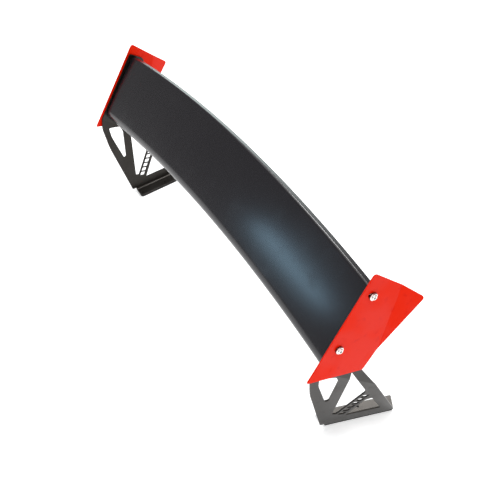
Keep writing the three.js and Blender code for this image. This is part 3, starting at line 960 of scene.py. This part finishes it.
def washer_shape(outer):
    """A washer from x = 0 inwards, its profile a rectangle with its corners taken off."""
    bore, thickness, ease = BOLT_RADIUS + GAP / MM, WASHER_THICKNESS / MM, 0.25
    profile = [(bore + ease, 0), (outer - ease, 0), (outer, -ease), (outer, ease - thickness)]
    profile += [(outer - ease, -thickness), (bore + ease, -thickness)]
    profile += [(bore, ease - thickness), (bore, -ease), (bore + ease, 0)]
    points = turned_piece(profile)
    around = len(points) // len(profile)
    faces = np.array(ring_faces(len(profile), around))
    rings = (len(profile) - 1) * around
    return points[:rings], (faces % rings).tolist()


# %% [markdown]
# ## Fasteners in place
#
# The same three shapes serve all four bolts, so each is worked out once and carried four times
# along the end plate's axes. The rear fasteners turn with the foil. The front ones are its
# pivot, which slides in its slot but doesn't turn, so they ride on a body of their own.

# %% Bolts and washers in place
HEAD_WASHER_RADIUS = 9.2
SPACER_RADIUS = 10.5
HEAD_SEAT = RUNNING_GAP + WASHER_THICKNESS
kinds = {
    "bolt": (bolt_shape(), stainless, "stainless", HEAD_SEAT + GAP),
    "head_washer": (washer_shape(HEAD_WASHER_RADIUS), black_zinc, "black_zinc", HEAD_SEAT),
    "spacer_washer": (washer_shape(SPACER_RADIUS), stainless, "stainless", SPACER_OUTER),
}
for hand, sign in SIDES.items():
    for station, centre in {"front": FRONT_BOLT, "rear": REAR_BOLT}.items():
        for kind, ((points, faces), material, slot, x) in kinds.items():
            placed = carried(points, plate_frame @ shifted(x, *(centre * MM)))
            name = f"{station}_{kind}_{hand}"
            body = "front_pivot" if station == "front" else "foil"
            piece = make_piece(name, mirrored(placed, sign), faces, material, body)
            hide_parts(f"{kind}_{station}_{hand}")
print("fasteners placed:", len(SIDES) * 2 * len(kinds))

# %% [markdown]
# ## Pieces that stay as they are
#
# The ribs, spars and inserts sit inside the foil. Their plain shapes are right, so they keep
# the model's own meshes and only take a finish.

# %% Finishes on the inner pieces
for name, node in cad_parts.items():
    if "spar" in name or "rib" in name:
        inner_finish = raw_laminate
    elif name.startswith("insert"):
        inner_finish = brass
    else:
        continue
    node.data.materials.clear()
    node.data.materials.append(inner_finish)

# %% [markdown]
# ## The floor
#
# The floor is a plain pale sheet, no bigger than the view needs, so that the foil doesn't
# mirror it. More lamps would keep it white too, but they would turn the black coats grey. So
# the sheet itself glows a little.


# %% Floor
def stage_finish():
    """The floor's colour goes between two pale greys by a broad noise, and so does its glow."""
    finish = Finish("pale_floor")
    tone = finish.noise(0.8, 2)
    colour = finish.blend(tone, (0.93, 0.93, 0.93), (0.95, 0.95, 0.95))
    glow = {"Emission_Color": colour, "Emission_Strength": 0.42}
    return finish.shade(Base_Color=colour, Roughness=0.9 + 0.05 * tone, **glow)


FLOOR_HALF = 2.6
FLOOR_DROP = 0.0005  # keeps it clear of the pads
corner = FLOOR_HALF * np.array([(-1, -1), (1, -1), (1, 1), (-1, 1)])
floor_mesh = bpy.data.meshes.new("floor")
floor_centre = (-0.5, 0.5)
floor_points = np.hstack([corner + floor_centre, np.full((4, 1), -FLOOR_DROP)])
floor_mesh.from_pydata(floor_points.tolist(), [], [(0, 1, 2, 3)])
floor_mesh.materials.append(stage_finish())
floor = bpy.data.objects.new("floor", floor_mesh)
bpy.context.scene.collection.objects.link(floor)


# %% [markdown]
# ## Lights
#
# Black gloss shows what it mirrors more than what falls on it. One large softbox overhead does
# most of the work and gives soft shadows. A smaller one behind on the left sharpens them, a
# wide one far behind draws the bright edges, and a weak one fills the right-hand side. The
# foil's top mirrors a small bluish strip, low in front, as a soft sheen.


# %% Lights
def softbox(name, place, target, size, power, colour=(1, 1, 1)):
    """A rectangular area light at a place, facing a target."""
    light = bpy.data.lights.new(name, "AREA")
    light.shape = "RECTANGLE"
    light.size, light.size_y = size
    light.energy = power
    light.color = colour
    lamp = bpy.data.objects.new(name, light)
    aim = (Vector(target) - Vector(place)).to_track_quat("-Z", "Y")
    lamp.matrix_world = Matrix.Translation(place) @ aim.to_matrix().to_4x4()
    bpy.context.scene.collection.objects.link(lamp)


softbox("ceiling", (-0.3, 0.3, 3.2), (-0.3, 0.3, 0), (5, 5), 115)
softbox("key", (-1.1, 1.8, 2.4), (0, 0, 0.2), (0.9, 0.9), 42)
softbox("rim", (-2.4, 2.5, 0.9), (0, 0, 0.4), (2.8, 1), 20, (0.88, 1, 0.98))
softbox("foil_sheen", (-0.32, -1.08, 0.47), (0.39, -0.07, 0.39), (0.44, 0.06), 1, (0.45, 0.76, 1))
softbox("right_fill", (2.4, -0.6, 1.2), (0.5, 0, 0.3), (1.2, 1.2), 12)

world = bpy.data.worlds.new("studio")
world.use_nodes = True
backdrop = world.node_tree.nodes["Background"]
backdrop.inputs["Color"].default_value = (1, 1, 1, 1)
backdrop.inputs["Strength"].default_value = 0.32
bpy.context.scene.world = world
bpy.context.scene.view_settings.view_transform = "Standard"
